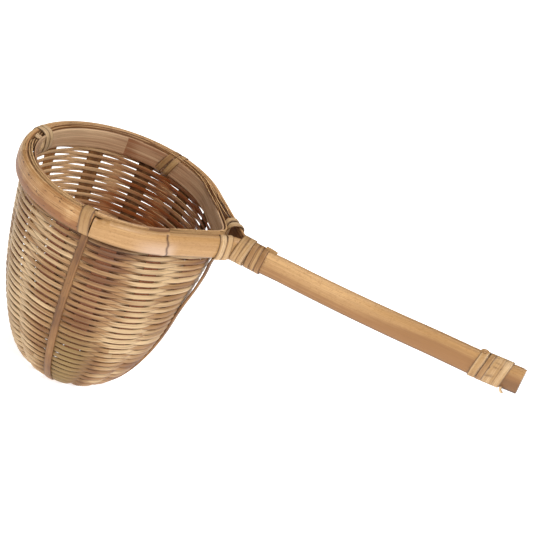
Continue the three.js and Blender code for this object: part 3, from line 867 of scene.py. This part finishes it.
def rim_bundle(angle):
    """The bundle of band, fillers and hoop at one bearing."""
    inner = BAND_OUTER - BAND_THICKNESS - 0.3
    outer = HOOP_INNER + HOOP_THICKNESS
    spot = rim_lath((inner + outer) / 2, 1, RIM_TOP - HOOP_HEIGHT, HOOP_HEIGHT, angle - 1, angle + 1, 3)
    outward = spot.through[1]
    along = np.array([-outward[1], outward[0], 0])
    return spot.centre[1], along, outward, UP, (outer - inner) / 2, HOOP_HEIGHT / 2


def branch_bundle(plan, side, node, half_depth, onward=0.0, inward=0.0):
    """The bundle on one branch where the CAD binding sits."""
    low, high = box(node)
    middle = (low + high) / 2
    nearest = np.argmin(np.linalg.norm(plan - middle[:2], axis=1)) + int(onward / PLAN_STEP)
    heading = unit(plan[nearest + 1] - plan[nearest - 1])
    along = np.append(heading, 0)
    outward = np.array([heading[1], -heading[0], 0]) * -side
    centre = np.append(plan[nearest], bar_height(plan[nearest, 0])) - inward * outward
    return centre, along, outward, UP, half_depth, HOOP_HEIGHT / 2


def handle_bundle(x, spread):
    """The bundle of bar and tail at one x, made deeper by the spread between them."""
    front = BAR_Y - BAR_THICKNESS / 2 - spread / 4
    back = TAIL_Y + TAIL_THICKNESS / 2 + spread
    slope = 2 * HANDLE_RISE * max(0, x - HANDLE_START)
    along = unit(np.array([1, 0, slope]))
    up = unit(np.array([-slope, 0, 1]))
    centre = np.array([x, (front + back) / 2, bar_height(x)])
    return centre, along, np.array([0, 1.0, 0]), up, (back - front) / 2, bar_width(x) / 2


def loosened(bundle, extra):
    """The same bundle, wider all round, for a strip that crosses over another one."""
    return (*bundle[:4], bundle[4] + extra, bundle[5] + extra)


def build_bindings():
    front = branch_bundle(BAR_PLAN, -1, "front_branch_binding", BAR_THICKNESS / 2, onward=5.4)
    back = branch_bundle(HOOP_PLAN, 1, "back_branch_binding", 3.1, inward=2.0)
    crease = wrap(rim_bundle(-83.9), 1, 4.5, 0.6, 1, slant=0.17)
    high, out = crease.section[..., 0], crease.section[..., 1]
    crease.darken(0.6 * (np.abs(high - 0.2) < 0.12) * (out > 0), "stain_and_shade")
    bark = wrap(handle_bundle(148.8, 0.1), 1, 4.7, 0.3, 10, slant=-0.26, tone=-0.1)
    bark.darken(0.5 * (RANDOM.normal(size=bark.section.shape[:2]) > 1.2), "stain_and_shade")
    neck_top, end_top = (bar_height(x) + bar_width(x) / 2 for x in (56, 143))
    end_bottom = bar_height(152) - bar_width(152) / 2
    loop = [(-42.5, -3.0, RIM_TOP - 0.8), (-39.4, -1.6, RIM_TOP - 2.2), (-38.6, -2.2, RIM_TOP - 4.6),
            (-39.6, -3.6, RIM_TOP - 6.4)]
    neck_end = [(54.5, 0.4, neck_top + 0.3), (56.5, 0.2, neck_top + 0.5), (59.4, -0.4, neck_top + 0.5)]
    bump = [(142.0, -1.6, end_top - 0.4), (142.6, -1.4, end_top + 0.9), (143.8, -1.0, end_top + 1.0),
            (144.6, -1.0, end_top - 0.2)]
    tip = [(153.6, -3.4, end_bottom + 1.6), (154.3, -3.8, end_bottom + 0.3), (155.2, -3.6, end_bottom - 0.3)]
    pieces = {
        "front_binding": [crease],
        "left_binding": [
            wrap(rim_bundle(174.6), 2, 2.6, 2.6, 2, slant=-0.2, tone=-1.0),
            loose_strip(loop, (1, -0.5, 0.3), 1.7, -0.6)],
        "back_binding": [wrap(rim_bundle(82.6), 2, 2.7, 3.2, 3, slant=0.33, tone=0.45, power=2.4)],
        "front_branch_binding": [wrap(front, 2, 2.8, 2.9, 4, slant=0.12, tone=-0.5)],
        "back_branch_binding": [wrap(back, 2, 2.2, 3.1, 5, slant=0.3, tone=-0.5),
                                wrap(loosened(back, 0.35), 1, 1.9, 1.4, 15, slant=-0.32, tone=-0.2)],
        "neck_lashing_wide": [wrap(handle_bundle(46.4, 3.4), 2, 2.8, 2.4, 6, slant=-0.22)],
        "neck_lashing": [
            wrap(handle_bundle(52.6, 1), 3, 2.15, 2.1, 7, slant=-0.14, tone=0.3),
            loose_strip(neck_end, (0, -0.7, 0.7), 1.8, 0.2)],
        "end_lashing": [
            wrap(handle_bundle(142.9, 0), 1, 3.2, 0.4, 8, slant=-0.3, tone=-0.3),
            wrap(handle_bundle(145.6, 0), 1, 2.3, 0.4, 9, slant=-0.3, tone=0.1),
            bark,
            wrap(handle_bundle(152.0, 0), 1, 3.0, 0.4, 11, slant=-0.28, tone=-0.3),
            loose_strip(bump, (0, -0.4, 0.9), 1.9, 0.3),
            loose_strip(tip, (0.4, -1, -0.3), 1.0, -0.8)],
    }
    for node, laths in pieces.items():
        mesh_piece(node.replace("binding", "tie").replace("lashing", "wraps"), laths, "cane", [node])


# ---- Stage ----------------------------------------------------------------------------------

def build_floor():
    mesh = bpy.data.meshes.new("floor")
    reach = 6.0                             # metres
    corner_points = [(-reach, -reach, 0), (reach, -reach, 0), (reach, reach, 0), (-reach, reach, 0)]
    mesh.from_pydata(corner_points, [], [(0, 1, 2, 3)])
    n = Nodes("floor_white")
    n.shader.inputs["Base Color"].default_value = (0.9, 0.9, 0.9, 1)
    n.shader.inputs["Roughness"].default_value = 0.9
    n.shader.inputs["Specular IOR Level"].default_value = 0.1
    n.shader.inputs["Emission Color"].default_value = (1, 1, 1, 1)
    n.shader.inputs["Emission Strength"].default_value = 0.82
    mesh.materials.append(n.material)
    floor = bpy.data.objects.new("floor", mesh)
    bpy.context.scene.collection.objects.link(floor)


def build_camera():
    azimuth, elevation, roll = np.radians([12.71, 26.21, 22.56])
    aim = np.array([55.43, 8.70, 75.83])
    distance = 900
    level_back = np.array([math.sin(azimuth), -math.cos(azimuth), 0])
    back = level_back * math.cos(elevation) + UP * math.sin(elevation)
    level = np.array([math.cos(azimuth), math.sin(azimuth), 0])
    above = np.cross(back, level)
    right = level * math.cos(roll) + above * math.sin(roll)
    up = above * math.cos(roll) - level * math.sin(roll)
    data = bpy.data.cameras.new("camera")
    data.sensor_width = 36
    data.lens = 164.64
    camera = bpy.data.objects.new("camera", data)
    place = Matrix(np.column_stack([right, up, back]).tolist()).to_4x4()
    place.translation = Vector((aim + distance * back) * MM)
    camera.matrix_world = place
    bpy.context.scene.collection.objects.link(camera)
    bpy.context.scene.camera = camera


LIGHT_AIM = Vector((0.03, 0, 0.05))         # metres


def area_light(name, place, size, power):
    """A soft light at a place in metres, aimed at the basket."""
    data = bpy.data.lights.new(name, "AREA")
    data.size = size
    data.energy = power
    light = bpy.data.objects.new(name, data)
    spot = Vector(place)
    light.location = spot
    light.rotation_euler = (LIGHT_AIM - spot).to_track_quat("-Z", "Y").to_euler()
    bpy.context.scene.collection.objects.link(light)


def build_lights():
    world = bpy.data.worlds.new("studio")
    world.use_nodes = True
    background = world.node_tree.nodes["Background"]
    background.inputs["Color"].default_value = (1, 1, 1, 1)
    background.inputs["Strength"].default_value = 0.1
    bpy.context.scene.world = world
    area_light("key", (0.62, -0.8, 0.95), 0.5, 14.2)
    area_light("fill", (-0.9, -0.8, 0.7), 1.2, 3.5)
    area_light("top", (0.15, 0.35, 1.3), 0.8, 8)
    bpy.context.scene.view_settings.view_transform = "Standard"


build_camera()
build_lights()
build_floor()
build_stakes()
build_wefts()
build_rib("rib_lower", "base_rib_lower", -90, RIB_THICKNESS / 2)
build_rib("rib_upper", "base_rib_upper", 0, RIB_THICKNESS * 1.5 + 0.1)
build_band()
build_fillers()
build_bar()
build_hoop()
build_bindings()
